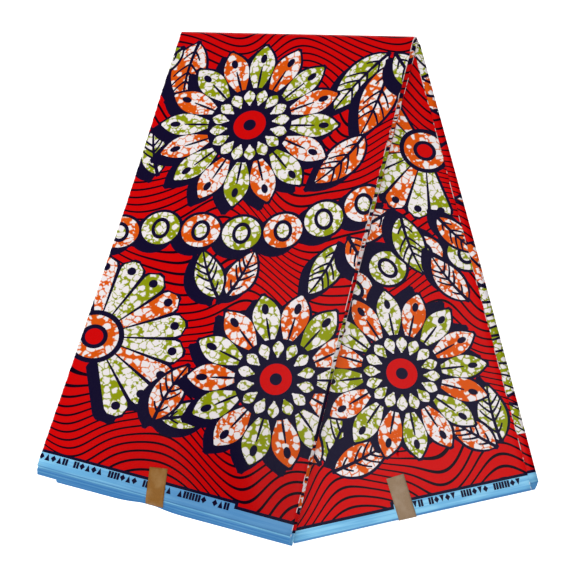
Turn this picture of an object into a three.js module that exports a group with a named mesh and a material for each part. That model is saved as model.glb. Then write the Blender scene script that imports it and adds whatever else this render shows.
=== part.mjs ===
// A six-yard length of wax-print cotton, pleated to and fro into a long flat strip, with the strip folded
// over its middle at a slant, so that its two halves spread apart. It lies flat on its back half.
// Millimetres. +X right, +Y towards the fold, +Z up. The origin is the middle of the footprint, underneath.
import * as THREE from 'three';

// ---- Driving dimensions ----
const WALL = 1.0; // one layer of cloth, with the air that it traps
const GAP = 0.3; // between pieces that lie on each other
const HIDDEN_STACK = 6.8; // the hidden layers of the half that lies below
const FOLD_GROOVE = 1.5; // how far the hollows between fold edges lie behind the edges
const END_GROOVE = 1.2; // the same between the cut ends
const SLOPE_HEAD = 26; // the upper half starts to slope down this far beside the half below it
const TOP_SLOPE = 80; // and its top slopes down over this width
const UNDER_SLOPE = 45; // its underside is steeper
const BAND_WALL = 0.8; // paper band
const BAND_WIDTH = 21;
const BAND_FLOOR_GAP = 0.4; // from the band's foot to the floor
const FOLD_SLANT = 0.5; // degrees; the left end of the fold lies further up than its right end

// One row for each layer that shapes the strip: where its long edges cross the fold, how far each edge
// leans from square to X (degrees, positive to the right), its length along the middle, how much longer its
// right edge is than a square-cut end would leave it, and how far each edge bows to the right.
const FRONT_OUTERMOST = {
  foldLeft: -143.5, foldRight: 144.4, leanLeft: -16.1, leanRight: -13.4,
  length: 583, endSkew: -3.7, bowLeft: 1.3, bowRight: -1.5,
};
const FRONT_INNERMOST = {
  foldLeft: -139.7, foldRight: 150.8, leanLeft: -13.7, leanRight: -13.6,
  length: 594.4, endSkew: -2.5, bowLeft: 2.5, bowRight: -2.3,
};
const BACK_INNERMOST = {
  foldLeft: -145.5, foldRight: 144.6, leanLeft: 13.85, leanRight: 14,
  length: 595.4, endSkew: 0.6, bowLeft: 0, bowRight: 0.8,
};
const BACK_OUTERMOST = {
  foldLeft: -138.4, foldRight: 155.1, leanLeft: 13.75, leanRight: 14.1,
  length: 578.8, endSkew: 3.3, bowLeft: 0, bowRight: 0.7,
};

// The bundles of hidden layers, from the lowest up: how far each fans out, and how far its cut end reaches,
// from 0, as the outermost layer lies, to 1, as the innermost does.
const FRONT_BUNDLES = [
  { fan: 1, reach: 1 },
  { fan: 0.97, reach: 0.96 },
  { fan: 0.08, reach: 0.66 },
  { fan: 0.04, reach: 0.4 },
  { fan: 0.02, reach: 0.33 },
];
const BACK_BUNDLES = [
  { fan: 0.02, reach: 0.36 },
  { fan: 0.04, reach: 0.38 },
  { fan: 0.48, reach: 0.93 },
  { fan: 0.5, reach: 0.95 },
  { fan: 0.03, reach: 0.4 },
];

// Paper bands: where the middle of each starts on its face, and which way it leans.
const FRONT_BAND = { startX: -153.6, startY: -526.2, lean: -5.7 };
const BACK_BAND = { startX: 121.7, startY: -532.3, lean: 17.3 };

// How each band turns down over the cut ends: how far past the face's own end it is, how far below the face
// it lies, and where its outside faces (degrees up from level).
const FRONT_BAND_TURN = [
  { past: 0.5, below: 0, faces: 75 },
  { past: 9.2, below: 4.6, faces: 45 },
  { past: 11.2, below: 7.2, faces: 10 },
];
const BACK_BAND_TURN = [
  { past: 0.5, below: 0, faces: 60 },
  { past: 0.8, below: 0.8, faces: 5 },
];

// ---- Heights and radii that follow ----
const BACK_LAYERS_BOTTOM = WALL + GAP;
const BACK_LAYERS_TOP = BACK_LAYERS_BOTTOM + HIDDEN_STACK;
const BACK_FACE_BOTTOM = BACK_LAYERS_TOP + GAP;
const BEND_HEIGHT = BACK_FACE_BOTTOM + WALL; // the height of the bend's axis
const BEND_RADIUS = BEND_HEIGHT; // the bend rests on the floor
const LIFT = BEND_HEIGHT + GAP; // how high the lower half carries the upper one
const FRONT_FACE_TOP = BEND_HEIGHT + BEND_RADIUS;
const FRONT_STACK = FRONT_FACE_TOP - WALL - GAP - LIFT;
const NOSE_RADIUS = BEND_RADIUS - WALL - GAP; // of the hidden layers as they turn over
const NOSE_HEIGHT = 0.99; // how high the round nose reaches, as a share of its radius, before the flat
const FRONT_BAND_HEIGHT = FRONT_STACK + GAP + WALL + GAP; // where the upper half lies on the floor
const BACK_BAND_HEIGHT = BEND_HEIGHT + GAP;
const DEGREE = Math.PI / 180;

// How finely the bent half and the flat half are divided.
const FRONT_CELLS = { across: 20, along: 28 };
const FLAT_CELLS = { across: 4, along: 8 };

// ---- Where a layer lies, seen from above ----

// The fold's line, at x.
function foldY(x) {
  return -x * Math.tan(FOLD_SLANT * DEGREE);
}

// A row part of the way from the outermost layer to the innermost.
function layerBetween(outermost, innermost, share) {
  const mixed = {};
  for (const column of Object.keys(outermost)) {
    mixed[column] = THREE.MathUtils.lerp(outermost[column], innermost[column], share);
  }
  return mixed;
}

// A point of one long edge: it starts on the fold's line at foldX, leans, and bows to the right.
function edgePoint(foldX, lean, length, bow, along) {
  const run = length * along;
  return new THREE.Vector2(foldX + run * Math.sin(lean * DEGREE) + bow * Math.sin(Math.PI * along),
    foldY(foldX) - run * Math.cos(lean * DEGREE));
}

// The point at share across (0 left, 1 right) and share along (0 at the fold, 1 at the cut end).
// The sides are drawn in by sideInset and the end by endInset.
function layerPoint(row, across, along, sideInset = 0, endInset = 0) {
  const lean = (row.leanLeft + row.leanRight) / 2;
  const skew = (row.foldRight - row.foldLeft) * Math.sin(lean * DEGREE) - row.endSkew;
  const length = row.length - endInset;
  const left = edgePoint(row.foldLeft + sideInset, row.leanLeft, length + skew / 2, row.bowLeft, along);
  const right = edgePoint(row.foldRight - sideInset, row.leanRight, length - skew / 2, row.bowRight, along);
  return left.lerp(right, across);
}

// How high the upper half lies above the floor at a place: LIFT over the lower half, nothing past the slope.
function lifted(place, slope) {
  const lean = BACK_INNERMOST.leanLeft * DEGREE;
  const edgeX = BACK_INNERMOST.foldLeft;
  const beside = (place.x - edgeX) * Math.cos(lean) + (place.y - foldY(edgeX)) * Math.sin(lean);
  return LIFT * THREE.MathUtils.smoothstep(beside, -SLOPE_HEAD - slope, -SLOPE_HEAD);
}

// ---- Solids ----

// A closed block with its corners placed by place(i, k, j): i counts across from the left, k up, j along.
function block(across, up, along, place) {
  const numbers = new Map();
  const positions = [];
  const triangles = [];
  const corner = (i, k, j) => {
    const name = `${i} ${k} ${j}`;
    if (!numbers.has(name)) {
      numbers.set(name, numbers.size);
      positions.push(...place(i, k, j).toArray());
    }
    return numbers.get(name);
  };
  const face = (a, b, c, d) => {
    triangles.push(a, b, c, a, c, d);
  };
  for (let i = 0; i < across; i += 1) {
    for (let j = 0; j < along; j += 1) {
      face(corner(i, up, j), corner(i, up, j + 1), corner(i + 1, up, j + 1), corner(i + 1, up, j));
      face(corner(i, 0, j), corner(i + 1, 0, j), corner(i + 1, 0, j + 1), corner(i, 0, j + 1));
    }
  }
  for (let k = 0; k < up; k += 1) {
    for (let j = 0; j < along; j += 1) {
      face(corner(0, k, j), corner(0, k, j + 1), corner(0, k + 1, j + 1), corner(0, k + 1, j));
      face(corner(across, k, j), corner(across, k + 1, j),
        corner(across, k + 1, j + 1), corner(across, k, j + 1));
    }
    for (let i = 0; i < across; i += 1) {
      face(corner(i, k, 0), corner(i, k + 1, 0), corner(i + 1, k + 1, 0), corner(i + 1, k, 0));
      face(corner(i, k, along), corner(i + 1, k, along),
        corner(i + 1, k + 1, along), corner(i, k + 1, along));
    }
  }
  const geometry = new THREE.BufferGeometry();
  geometry.setAttribute('position', new THREE.Float32BufferAttribute(positions, 3));
  geometry.setIndex(triangles);
  geometry.computeVertexNormals();
  return geometry;
}

// One layer of cloth with its underside at height(place).
function sheet(row, { across, along }, height) {
  return block(across, 1, along, (i, k, j) => {
    const place = layerPoint(row, i / across, j / along);
    return new THREE.Vector3(place.x, place.y, height(place) + k * WALL);
  });
}

// The turn of the outermost layer, a half round that joins the top of the strip to its underside.
function turnOver(across, steps) {
  const seam = GAP / BEND_RADIUS; // the angle of the gap at each end of the turn
  return block(across, 1, steps, (i, k, j) => {
    const angle = (j / steps - 0.5) * (Math.PI - 2 * seam);
    const row = layerBetween(BACK_OUTERMOST, FRONT_OUTERMOST, j / steps);
    const radius = BEND_RADIUS - WALL + k * WALL;
    const fold = layerPoint(row, i / across, 0);
    return new THREE.Vector3(fold.x, fold.y + radius * Math.cos(angle),
      BEND_HEIGHT + radius * Math.sin(angle));
  });
}

// Where the layers lie at level k of a stack: a bundle's edge stands out at each odd level.
function bundleRow({ outermost, innermost, bundles }, k) {
  const below = bundles[Math.max(0, Math.ceil(k / 2) - 1)];
  const above = bundles[Math.min(bundles.length - 1, Math.floor(k / 2))];
  const row = layerBetween(outermost, innermost, (below.fan + above.fan) / 2);
  row.length = THREE.MathUtils.lerp(outermost.length, innermost.length, (below.reach + above.reach) / 2);
  return row;
}

// The hidden layers of one half, as one stack: rounded where they turn over at the fold, with the long
// sides in ridges for the folds, and the cut ends in steps.
function hiddenLayers(stack) {
  const { outermost, bundles, across, along, bottom, top } = stack;
  const levels = 2 * bundles.length;
  return block(across, levels, along + 1, (i, k, j) => {
    const inset = k % 2 === 0 ? 1 : 0;
    const share = i / across;
    if (j === 0) {
      const fold = layerPoint(outermost, share, 0, inset * FOLD_GROOVE);
      const height = THREE.MathUtils.lerp(bottom(fold), top(fold), k / levels);
      const above = THREE.MathUtils.clamp((height - BEND_HEIGHT) / NOSE_RADIUS, -NOSE_HEIGHT, NOSE_HEIGHT);
      const turned = layerBetween(BACK_OUTERMOST, FRONT_OUTERMOST, Math.asin(above) / Math.PI + 0.5);
      const nose = layerPoint(turned, share, 0, inset * FOLD_GROOVE);
      return new THREE.Vector3(nose.x, nose.y + NOSE_RADIUS * Math.sqrt(1 - above * above),
        BEND_HEIGHT + NOSE_RADIUS * above);
    }
    const row = bundleRow(stack, k);
    const place = layerPoint(row, share, (j - 1) / along, inset * FOLD_GROOVE, inset * END_GROOVE);
    return new THREE.Vector3(place.x, place.y,
      THREE.MathUtils.lerp(bottom(place), top(place), k / levels));
  });
}

// A paper band that lies on a layer's face at the given height, and turns down over the cut ends.
function paperBand({ startX, startY, lean }, layer, height, turn) {
  const forward = new THREE.Vector2(Math.sin(lean * DEGREE), -Math.cos(lean * DEGREE));
  const sideways = new THREE.Vector2(-forward.y, forward.x);
  const endLeft = layerPoint(layer, 0, 1);
  const endRight = layerPoint(layer, 1, 1);
  const outward = new THREE.Vector2(endRight.y - endLeft.y, endLeft.x - endRight.x).normalize();
  const last = turn[turn.length - 1];
  const foot = { past: last.past, below: height - BAND_FLOOR_GAP, faces: 0 };
  const steps = [{ past: null, below: 0, faces: 90 }, ...turn, foot];
  return block(1, 1, steps.length - 1, (i, k, j) => {
    const start = new THREE.Vector2(startX, startY).addScaledVector(sideways, (i - 0.5) * BAND_WIDTH);
    const reach = endLeft.clone().sub(start).dot(outward) / forward.dot(outward);
    const { past, below, faces } = steps[j];
    const run = (past === null ? 0 : reach + past) + k * BAND_WALL * Math.cos(faces * DEGREE);
    const place = start.addScaledVector(forward, run);
    return new THREE.Vector3(place.x, place.y, height - below + k * BAND_WALL * Math.sin(faces * DEGREE));
  });
}

// ---- The part ----
const cloth = new THREE.MeshStandardMaterial({ color: 0xc8070c, roughness: 0.55, metalness: 0 });
const edges = new THREE.MeshStandardMaterial({ color: 0x6eb0dc, roughness: 0.6, metalness: 0 });
const paper = new THREE.MeshStandardMaterial({ color: 0x93683f, roughness: 0.7, metalness: 0 });

const frontLayersTop = (place) => FRONT_STACK + lifted(place, TOP_SLOPE);
const frontLayers = {
  outermost: FRONT_OUTERMOST,
  innermost: FRONT_INNERMOST,
  bundles: FRONT_BUNDLES,
  across: FRONT_CELLS.across,
  along: FRONT_CELLS.along,
  bottom: (place) => lifted(place, UNDER_SLOPE),
  top: frontLayersTop,
};
const backLayers = {
  outermost: BACK_OUTERMOST,
  innermost: BACK_INNERMOST,
  bundles: BACK_BUNDLES,
  across: 4,
  along: 12,
  bottom: () => BACK_LAYERS_BOTTOM,
  top: () => BACK_LAYERS_TOP,
};

const pieces = [
  ['front_face', cloth, sheet(FRONT_OUTERMOST, FRONT_CELLS, (place) => frontLayersTop(place) + GAP)],
  ['turn_over', cloth, turnOver(12, 12)],
  ['under_face', cloth, sheet(BACK_OUTERMOST, FLAT_CELLS, () => 0)],
  ['back_face', cloth, sheet(BACK_INNERMOST, FLAT_CELLS, () => BACK_FACE_BOTTOM)],
  ['front_layers', edges, hiddenLayers(frontLayers)],
  ['back_layers', edges, hiddenLayers(backLayers)],
  ['front_band', paper, paperBand(FRONT_BAND, FRONT_OUTERMOST, FRONT_BAND_HEIGHT, FRONT_BAND_TURN)],
  ['back_band', paper, paperBand(BACK_BAND, BACK_INNERMOST, BACK_BAND_HEIGHT, BACK_BAND_TURN)],
];

const part = new THREE.Group();
for (const [name, material, geometry] of pieces) {
  const mesh = new THREE.Mesh(geometry, material);
  mesh.name = name;
  part.add(mesh);
}

// The origin goes to the middle of the footprint.
const middle = new THREE.Box3().setFromObject(part).getCenter(new THREE.Vector3());
part.position.set(-middle.x, -middle.y, 0);

export default part;
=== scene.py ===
"""A six-yard length of wax-print cotton, pleated into a long strip that is folded over its middle.

Lengths are in millimetres up to the point where a mesh is made, and in metres from there on.
"""
from math import cos, pi, radians, sin, tan

import bpy
import numpy as np
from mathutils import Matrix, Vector
from mathutils.geometry import delaunay_2d_cdt


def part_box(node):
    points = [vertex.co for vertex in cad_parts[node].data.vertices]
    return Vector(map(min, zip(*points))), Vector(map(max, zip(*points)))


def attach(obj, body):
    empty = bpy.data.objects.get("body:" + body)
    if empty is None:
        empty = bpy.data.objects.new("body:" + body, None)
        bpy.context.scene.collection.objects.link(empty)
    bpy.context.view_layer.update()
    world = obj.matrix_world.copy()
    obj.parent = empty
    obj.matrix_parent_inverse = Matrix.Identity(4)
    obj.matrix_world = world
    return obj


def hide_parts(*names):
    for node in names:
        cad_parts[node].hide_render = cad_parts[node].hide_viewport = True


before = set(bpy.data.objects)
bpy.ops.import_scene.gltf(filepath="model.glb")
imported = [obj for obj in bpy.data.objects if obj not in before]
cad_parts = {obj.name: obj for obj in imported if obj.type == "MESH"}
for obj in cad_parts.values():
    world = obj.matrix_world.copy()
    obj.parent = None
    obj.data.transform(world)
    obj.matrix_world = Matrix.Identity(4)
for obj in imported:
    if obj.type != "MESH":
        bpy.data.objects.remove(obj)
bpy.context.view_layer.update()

MM = 0.001

# ---- Sizes of the cloth ----
THICKNESS = 0.35  # one layer of cloth
PITCH = 0.5  # from one layer to the next in the stack
LAYERS = 19
INNERMOST_LAYER = LAYERS - 1
CLOTH_ACROSS = 288  # one pleat, from fold to fold
BEND_HEIGHT = 9.4  # of each half
LIFT = 9.7  # how high the lower half carries the upper one
SLOPE_HEAD = 26  # the upper half starts to slope down this far beside the half below it
TOP_SLOPE = 80  # how far the slope reaches, on the outermost layer
UNDER_SLOPE = 45  # and on the innermost
EDGE_TUCK = 2.5  # how much of the outer sheets turns under at their long edges
FOLD_SLANT = radians(0.5)  # the left end of the fold lies further up than its right end

# One row for each layer that shapes the strip: where its long edges cross the fold, how far each edge
# leans from square to X (degrees, positive to the right), its length along the middle, how much longer its
# right edge is than a square-cut end would leave it, and how far each edge bows to the right.
COLUMNS = (
    "fold_left", "fold_right", "lean_left", "lean_right", "length", "end_skew", "bow_left", "bow_right",
)
FRONT_OUTERMOST = dict(zip(COLUMNS, (-143.5, 144.4, -16.1, -13.4, 583, -3.7, 1.3, -1.5)))
FRONT_INNERMOST = dict(zip(COLUMNS, (-139.7, 150.8, -13.7, -13.6, 595.8, -1, 2.5, -2.3)))
BACK_INNERMOST = dict(zip(COLUMNS, (-145.5, 144.6, 13.85, 14, 595.4, 0.6, 0, 0.8)))
BACK_OUTERMOST = dict(zip(COLUMNS, (-138.4, 155.1, 13.75, 14.1, 578.8, 3.3, 0, 0.7)))

# How far the layers fan out, and how far their cut ends reach, from 0, as the outermost layer lies, to 1,
# as the innermost does. They keep together in groups, and the layers between those named lie evenly.
GROUP_LAYERS = (0, 1, 2, 3, 5, 6, 8, 9, 11, 12, 14, 15, 17, 18)
FRONT_FAN = (0, 0.02, 0.03, 0.04, 0.04, 0.06, 0.07, 0.08, 0.08, 0.95, 0.97, 0.98, 1, 1)
FRONT_REACH = (0, 0.22, 0.28, 0.36, 0.43, 0.55, 0.61, 0.7, 0.76, 0.87, 0.9, 0.98, 1, 1)
BACK_FAN = (0, 0.02, 0.02, 0.03, 0.03, 0.47, 0.48, 0.5, 0.5, 0.05, 0.04, 0.03, 0.02, 1)
BACK_REACH = (0, 0.33, 0.35, 0.37, 0.38, 0.9, 0.92, 0.94, 0.95, 0.42, 0.41, 0.4, 0.38, 1)
END_SLIP = 0.3  # how unevenly the cut ends of the hidden layers lie

# ---- Sizes of the print ----
BORDER = 3.6  # the navy line round a motif
BLUNT = 0.55  # how wide the line's own ends are, as a share
SHADOW = (-7.5, -9.0)  # how far a motif's navy shadow lies from it
VEINS = 4  # on each side of a leaf
BEAD = 46  # from one bead of a garland to the next
BEAD_WIDTH = 42
FAN_SPREAD = 176  # degrees
FAN_BLADES = 9
SELVEDGE = 12.6
NAVY_LINE = 3.6
NAVY_LINE_END = SELVEDGE + NAVY_LINE
MARKS_RISE = 5.4  # how much wider the selvedge is where it has marks
MARK_HEIGHT = 8.2
MARK_PITCH = 6.7
MARKS_MIDDLE = 13.1  # from the cut end to the middle of the marks
PAST_END = 2  # how far the selvedge's shapes reach past the cut end
PAST_LEFT, PAST_RIGHT = -EDGE_TUCK - 1, CLOTH_ACROSS + EDGE_TUCK + 1  # and past the long edges


def fold_y(x):
    """The fold's line, at x."""
    return -x * tan(FOLD_SLANT)


# The frame's place for x = 0 and y = 0 on the fold's line.
FOLD_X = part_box("turn_over")[0][0] / MM - FRONT_OUTERMOST["fold_left"]
FOLD_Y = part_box("front_face")[1][1] / MM - fold_y(FRONT_OUTERMOST["fold_left"])

# ---- Colours, as the eye sees them (0 to 255) ----
RED = (206, 1, 2)
NAVY = (18, 11, 44)
LINE_NAVY = (15, 2, 20)
ORANGE = (219, 85, 6)
GREEN = (141, 151, 6)
WHITE = (239, 232, 234)
CREAM = (255, 250, 214)
SELVEDGE_BLUE = (142, 208, 243)
SELVEDGE_DARK = (112, 181, 226)
# A painted shade: the selvedge's blue towards one corner of the upper half's end.
SELVEDGE_CORNER_SHADE = (86, 148, 210)
# A painted shade: the selvedge's blue at the cut ends, where the layers step down.
SELVEDGE_END_SHADE = (64, 133, 203)
FRONT_KRAFT = (147, 99, 40)
# The back band's paper is paler and greyer: partly its own colour, partly a painted whitish reflection.
BACK_KRAFT_AND_REFLECTION = (156, 130, 103)
LIGHT_LEVEL = 1.45  # how bright the light on a level white surface is, so dyes are darker by as much


def dye(colour):
    """The base colour that shows as the given colour under the scene's light."""
    linear = [c / 255 / 12.92 if c <= 10 else ((c / 255 + 0.055) / 1.055) ** 2.4 for c in colour]
    return (*(c / LIGHT_LEVEL for c in linear), 1)


# ---- Camera, floor and light ----
VIEW_DISTANCE = 1.3934
VIEW_TILT = radians(10)  # from straight above
VIEW_TURN = radians(0.77)
VIEW_ANGLE = radians(28)
VIEW_TARGET = Vector((-0.0023, -0.0094, 0))


def new_object(name, data):
    made = bpy.data.objects.new(name, data)
    bpy.context.collection.objects.link(made)
    return made


def add_camera():
    camera = new_object("camera", bpy.data.cameras.new("camera"))
    camera.data.lens = camera.data.sensor_width / 2 / tan(VIEW_ANGLE / 2)
    camera.rotation_euler = (VIEW_TILT, 0, VIEW_TURN)
    back = Vector((sin(VIEW_TILT) * sin(VIEW_TURN), -sin(VIEW_TILT) * cos(VIEW_TURN), cos(VIEW_TILT)))
    camera.location = VIEW_TARGET + back * VIEW_DISTANCE
    bpy.context.scene.camera = camera


def add_floor():
    bpy.ops.mesh.primitive_plane_add(size=12)
    floor = bpy.context.object
    floor.name = "floor"
    floor.data.materials.append(plain_floor())


SOFTBOXES = (
    # name, place, size, power
    ("light_right", (1.6, -0.2, 1.7), 1.6, 14),
    ("light_left", (-1.75, 0.1, 1.45), 1.6, 38),
    ("light_back", (0.2, 1.7, 1.5), 1.6, 12),
    ("light_front", (-0.3, -1.8, 1.5), 1.6, 17),
    ("light_overhead", (0.35, -0.05, 2.4), 0.9, 16),
)
SHEEN_LIGHT = "light_overhead"  # the only one that shows in the cloth's sheen
SKY_STRENGTH = 0.3


def add_lights():
    for name, place, size, power in SOFTBOXES:
        lamp = bpy.data.lights.new(name, "AREA")
        lamp.size = size
        lamp.energy = power
        light = new_object(name, lamp)
        light.location = place
        light.rotation_euler = (-Vector(place)).to_track_quat("-Z", "Y").to_euler()
        light.visible_glossy = name == SHEEN_LIGHT
    sky = bpy.data.worlds.new("studio")
    sky.use_nodes = True
    sky.cycles_visibility.glossy = False
    background = sky.node_tree.nodes["Background"].inputs
    background["Strength"].default_value = SKY_STRENGTH
    background["Color"].default_value = (1, 1, 1, 1)
    bpy.context.scene.world = sky
    bpy.context.scene.view_settings.view_transform = "Standard"


# ---- Nodes ----
GROUPS = {}  # the effects that several materials share, by name


class Bench:
    """Lays out the nodes of one material or node group."""

    def __init__(self, tree):
        self.tree = tree

    def feed(self, socket, value):
        if isinstance(value, bpy.types.NodeSocket):
            self.tree.links.new(value, socket)
        else:
            socket.default_value = value

    def node(self, kind, inputs=None, **settings):
        made = self.tree.nodes.new("ShaderNode" + kind)
        for name, value in settings.items():
            setattr(made, name, value)
        for name, value in (inputs or {}).items():
            self.feed(made.inputs[name], value)
        return made

    def math(self, operation, *values):
        return self.node("Math", dict(enumerate(values)), operation=operation).outputs[0]

    def plus(self, first, second):
        return self.math("ADD", first, second)

    def minus(self, first, second):
        return self.math("SUBTRACT", first, second)

    def times(self, first, second):
        return self.math("MULTIPLY", first, second)

    def sine(self, value):
        return self.math("SINE", value)

    def times_plus(self, first, second, added):
        return self.math("MULTIPLY_ADD", first, second, added)

    def vector(self, operation, *values):
        return self.node("VectorMath", dict(enumerate(values)), operation=operation).outputs[0]

    def ramp(self, value, start, end):
        """0 up to start, 1 from end on, and smooth between them."""
        inputs = {"Value": value, "From Min": start, "From Max": end}
        return self.node("MapRange", inputs, interpolation_type="SMOOTHSTEP").outputs["Result"]

    def fade(self, value, start, end):
        """1 up to start, 0 from end on, and smooth between them."""
        return self.minus(1.0, self.ramp(value, start, end))

    def mix(self, share, first, second):
        return self.node("Mix", {0: share, 6: first, 7: second}, data_type="RGBA").outputs[2]

    def noise(self, place, scale, detail=2.0, roughness=0.5, dimensions="2D"):
        inputs = {"Vector": place, "Scale": scale, "Detail": detail, "Roughness": roughness}
        return self.node("TexNoise", inputs, noise_dimensions=dimensions).outputs

    def cells(self, place, scale, feature="F1"):
        inputs = {"Vector": place, "Scale": scale}
        return self.node("TexVoronoi", inputs, voronoi_dimensions="2D", feature=feature).outputs

    def split(self, vector):
        return self.node("SeparateXYZ", {"Vector": vector}).outputs

    def join(self, x, y):
        return self.node("CombineXYZ", {"X": x, "Y": y}).outputs[0]

    def scaled(self, vector, x, y):
        return self.vector("MULTIPLY", vector, (x, y, 1))

    def group(self, name, **inputs):
        """One of the shared effects, with its inputs by name."""
        made = self.node("Group", node_tree=GROUPS[name])
        for socket, value in inputs.items():
            self.feed(made.inputs[socket.replace("_", " ")], value)
        return made.outputs


def new_group(name, outputs, **inputs):
    """A shared effect as a node group: its bench, its outputs, its Place and its other inputs."""
    group = bpy.data.node_groups.new(name, "ShaderNodeTree")
    group.interface.new_socket("Place", in_out="INPUT", socket_type="NodeSocketVector")
    for socket_name, value in inputs.items():
        socket_name = socket_name.replace("_", " ")
        socket = group.interface.new_socket(socket_name, in_out="INPUT", socket_type="NodeSocketFloat")
        socket.default_value = value
    for socket_name in outputs:
        group.interface.new_socket(socket_name, in_out="OUTPUT", socket_type="NodeSocketFloat")
    GROUPS[name] = group
    given = group.nodes.new("NodeGroupInput").outputs
    return Bench(group), group.nodes.new("NodeGroupOutput").inputs, *given[:len(inputs) + 1]


def make_wave_lines():
    """Thin flowing lines, side by side, that rise and fall across the cloth."""
    bench, out, place, spacing, thickness = new_group(
        "wave_lines", ["Line"], Spacing=0.0112, Thickness=0.0025
    )
    u, v, _ = bench.split(place)
    sway = bench.times(bench.sine(bench.times(v, 2 * pi / 0.31)), 1.1)
    long_wave = bench.sine(bench.times_plus(u, 2 * pi / 0.19, sway))
    short_wave = bench.sine(bench.times_plus(v, 2 * pi / 0.24, bench.times(u, 2 * pi / 0.105)))
    level = bench.times_plus(long_wave, 0.023, v)
    level = bench.times_plus(short_wave, 0.0045, level)
    level = bench.times_plus(bench.noise(place, 5.0, detail=0.0)[0], 0.05, level)
    turn = bench.math("FRACT", bench.math("DIVIDE", level, spacing))
    off = bench.times(bench.math("ABSOLUTE", bench.minus(turn, 0.5)), spacing)
    half = bench.times(thickness, 0.5)
    bench.feed(out["Line"], bench.fade(off, half, bench.plus(half, 0.0003)))


def make_wax_crackle():
    """White bubbles, where wax kept the dye off the cloth, with fine webs of dye between them."""
    bench, out, place, bubble_size, cover = new_group(
        "wax_crackle", ["Bare", "Rim"], Bubble_Size=0.0092, Cover=0.5
    )
    wobble = bench.vector("SUBTRACT", bench.noise(place, 210.0, detail=1.0)["Color"], (0.5, 0.5, 0.5))
    wobbly_place = bench.vector("MULTIPLY_ADD", wobble, (0.0036, 0.0036, 0), place)
    crowd = bench.ramp(bench.noise(place, 26.0, detail=1.0)[0], 0.32, 0.68)
    crowd = bench.times_plus(bench.minus(crowd, 0.5), 0.5, cover)
    bubbles = []
    for share, fullest, web, scarce in ((1.0, 0.64, 0.05, 0.0), (0.5, 0.5, 0.09, 0.45)):
        rate = bench.math("DIVIDE", 1.0, bench.times(bubble_size, share))
        cells = bench.cells(wobbly_place, rate)
        walls = bench.cells(wobbly_place, rate, "DISTANCE_TO_EDGE")
        chance, plenty, _ = bench.split(cells["Color"])
        radius = bench.times(bench.times_plus(chance, 0.45, 0.55), fullest)
        inside = bench.minus(radius, cells["Distance"])
        inside = bench.math("MINIMUM", inside, bench.minus(walls["Distance"], web))
        missing = bench.minus(bench.plus(plenty, scarce), bench.times(crowd, 1.3))
        bubbles.append(bench.minus(inside, bench.math("MAXIMUM", missing, 0.0)))
    inside = bench.math("MAXIMUM", *bubbles)
    bench.feed(out["Bare"], bench.ramp(inside, 0.0, 0.05))
    bench.feed(out["Rim"], bench.ramp(inside, -0.1, 0.02))


def make_dye_tone():
    """How evenly the dye took: slow blotches and a faint grain, around 1."""
    bench, out, place, blotches = new_group("dye_tone", ["Tone"], Blotches=0.08)
    slow = bench.minus(bench.noise(place, 9.0, detail=3.0)[0], 0.5)
    grain = bench.minus(bench.noise(place, 900.0, detail=1.0)[0], 0.5)
    mottle = bench.times_plus(grain, 0.5, slow)
    bench.feed(out["Tone"], bench.times_plus(mottle, blotches, 1.0))


def make_painted_corner_shade():
    """Where a painted shade darkens the cloth: towards the right of the upper half's end, as the cloth lies
    flat.
    """
    bench, out, place = new_group("painted_corner_shade", ["Deeper"])
    u, v, _ = bench.split(place)
    bench.feed(out["Deeper"], bench.times(bench.ramp(u, 0.0, 0.2), bench.fade(v, 0.0, 0.26)))


def make_fold_wear_and_highlight():
    """Pale broken lines along a sheet's folded edges, partly wear and partly a painted highlight where the
    rolled edge catches the light: one at Fold, and one at each Period from it.
    """
    bench, out, place, fold, period, width = new_group(
        "fold_wear_and_highlight", ["Pale"], Fold=-0.0004, Period=0.2888, Width=0.001
    )
    u, v, _ = bench.split(place)
    half = bench.times(period, 0.5)
    past = bench.math("FLOORED_MODULO", bench.plus(bench.minus(u, fold), half), period)
    off = bench.math("ABSOLUTE", bench.minus(past, half))
    line = bench.fade(off, bench.times(width, 0.4), width)
    broken = bench.noise(bench.join(bench.times(u, 0.2), v), 110.0)[0]
    bench.feed(out["Pale"], bench.times(line, bench.ramp(broken, 0.46, 0.56)))


def make_cotton_weave():
    """The height of a plain weave: warp and weft threads, one over and one under."""
    bench, out, place, thread = new_group("cotton_weave", ["Height"], Thread=0.00042)
    u, v, _ = bench.split(place)
    rate = bench.math("DIVIDE", pi, thread)
    threads = bench.times(*(bench.sine(bench.times(way, rate)) for way in (u, v)))
    slub = bench.noise(bench.scaled(place, 60.0, 700.0), 1.0)[0]
    bench.feed(out["Height"], bench.times_plus(slub, 1.5, threads))


def make_selvedge_streaks():
    """Streaks along the selvedge's threads, with painted sheen patches, and a painted shade near the cloth's
    cut end.
    """
    bench, out, place, from_end = new_group("selvedge_streaks", ["Pale", "Fray"], From_End=1.0)
    broad, fine, sheen = (
        bench.noise(bench.scaled(place, along, across), 1.0, detail=1.0)[0]
        for along, across in ((9.0, 330.0), (30.0, 1400.0), (26.0, 40.0))
    )
    streaks = bench.times_plus(fine, 0.4, bench.times(broad, 0.6))
    # Painted sheen: slow pale patches mixed into the streaks.
    streaks = bench.times_plus(bench.minus(sheen, 0.5), 0.4, streaks)
    bench.feed(out["Pale"], bench.ramp(streaks, 0.36, 0.64))
    # Painted shade, strongest within 0.4 mm of the cut end and gone at 1.5 mm.
    bench.feed(out["Fray"], bench.fade(from_end, 0.0004, 0.0015))


# ---- Materials ----
CLOTH_MAP = "cloth"  # across and along the unfolded cloth, in metres
# How pale the folded edges get: wear, and a painted highlight on the rolled edge.
FOLD_WEAR_AND_HIGHLIGHT = 0.85


def new_material(name):
    material = bpy.data.materials.new(name)
    material.use_nodes = True
    return material, Bench(material.node_tree), material.node_tree.nodes["Principled BSDF"]


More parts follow.
